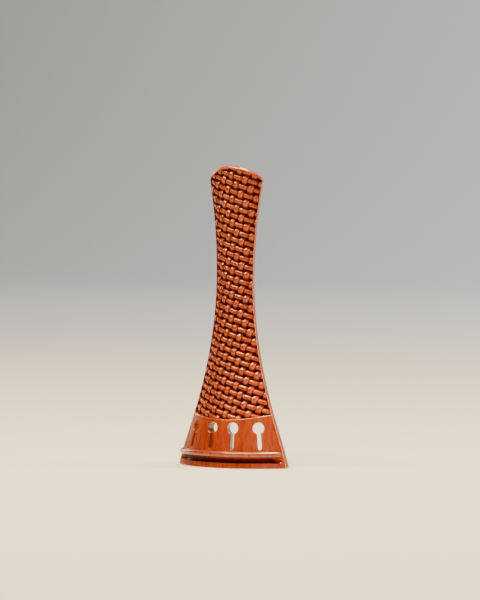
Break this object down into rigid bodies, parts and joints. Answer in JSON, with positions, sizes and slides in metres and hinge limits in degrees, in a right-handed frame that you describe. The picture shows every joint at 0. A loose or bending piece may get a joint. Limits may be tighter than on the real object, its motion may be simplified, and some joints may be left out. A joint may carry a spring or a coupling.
{
  "type": "violin tailpiece",
  "caption": "Wooden violin tailpiece with a basket weave carved on its arched front, keyhole string holes, a raised string fret, a hollow underside and tailgut bores.",
  "frame": {"origin": "centre of the bounding box at the base, on the face of the wide end", "axes": "+Z runs along the tailpiece from its wide end to its narrow end, the carved front faces -Y, the hollow underside faces +Y"},
  "size_m": [0.0452, 0.0148, 0.1095],
  "materials": {
    "body_wood": "oiled and polished, fine vertical grain",
    "fret_wood": "oiled and polished"
  },
  "bodies": {
    "root": {"tailpiece_body": "body_wood", "string_fret": "fret_wood"}
  },
  "joints": []
}
